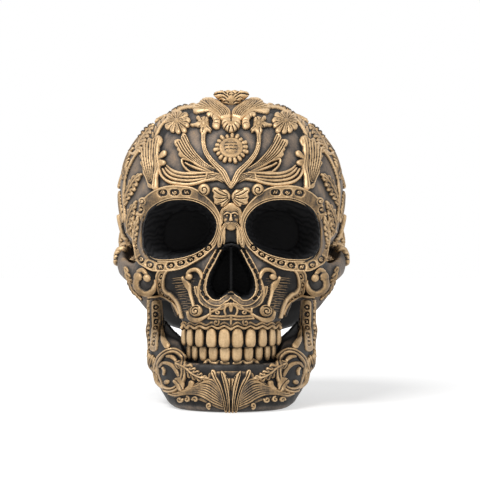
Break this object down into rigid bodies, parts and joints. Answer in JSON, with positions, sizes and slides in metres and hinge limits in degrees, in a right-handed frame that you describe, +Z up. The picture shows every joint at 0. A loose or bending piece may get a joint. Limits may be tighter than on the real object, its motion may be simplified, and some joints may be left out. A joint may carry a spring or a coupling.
{
  "type": "ornamental skull decoration",
  "caption": "Desk-size ornamental skull with scroll, leaf and flower relief rubbed in antique gold, deep black eye sockets and a hinged lower jaw that it stands on.",
  "frame": {"origin": "on the surface that the jaw stands on, under the middle of the whole skull", "axes": "+Z up, the face looks along -Y, +X to the right of someone who looks at the face"},
  "size_m": [0.1292, 0.1396, 0.1648],
  "materials": {
    "dark_bronze": "cast resin with dark graphite-bronze paint and worn brighter edges",
    "antique_gold": "cast resin, dark in its hollows and dry-brushed with antique gold on what stands out",
    "black_liner": "smooth black with faint turning lines",
    "pin_steel": "plain steel"
  },
  "bodies": {
    "cranium": {"face_shell": "dark_bronze", "rear_shell": "dark_bronze", "left_eye_cup": "black_liner", "right_eye_cup": "black_liner", "nasal_liner": "black_liner", "nasal_septum": "dark_bronze", "upper_teeth": "antique_gold", "left_hinge_pin": "pin_steel", "right_hinge_pin": "pin_steel", "crown_crest": "antique_gold", "left_crown_wing": "antique_gold", "right_crown_wing": "antique_gold", "brow_shell": "antique_gold", "forehead_rosette": "antique_gold", "left_brow_acanthus": "antique_gold", "right_brow_acanthus": "antique_gold", "left_stem_flower": "antique_gold", "right_stem_flower": "antique_gold", "left_temple_plume": "antique_gold", "right_temple_plume": "antique_gold", "left_forehead_daisy": "antique_gold", "right_forehead_daisy": "antique_gold", "glabella_leaves": "antique_gold", "nose_mask": "antique_gold", "left_orbit_rim": "antique_gold", "right_orbit_rim": "antique_gold", "nose_rim": "antique_gold", "left_cheek_scroll": "antique_gold", "right_cheek_scroll": "antique_gold", "left_cheek_strap": "antique_gold", "right_cheek_strap": "antique_gold", "left_cheek_volute": "antique_gold", "right_cheek_volute": "antique_gold", "left_temporal_leaf": "antique_gold", "right_temporal_leaf": "antique_gold", "left_ear_shell": "antique_gold", "right_ear_shell": "antique_gold", "left_parietal_scroll": "antique_gold", "right_parietal_scroll": "antique_gold", "occiput_palmette": "antique_gold"},
    "jaw": {"mandible": "dark_bronze", "lower_teeth": "antique_gold", "chin_palmette": "antique_gold", "left_jaw_cartouche": "antique_gold", "right_jaw_cartouche": "antique_gold", "left_jaw_stud": "antique_gold", "right_jaw_stud": "antique_gold"}
  },
  "joints": [
    {"name": "jaw_hinge", "type": "hinge", "parent": "cranium", "child": "jaw", "pos_m": [0, 0.005, 0.0655], "axis": [1, 0, 0], "range_deg": [0, 18]}
  ]
}
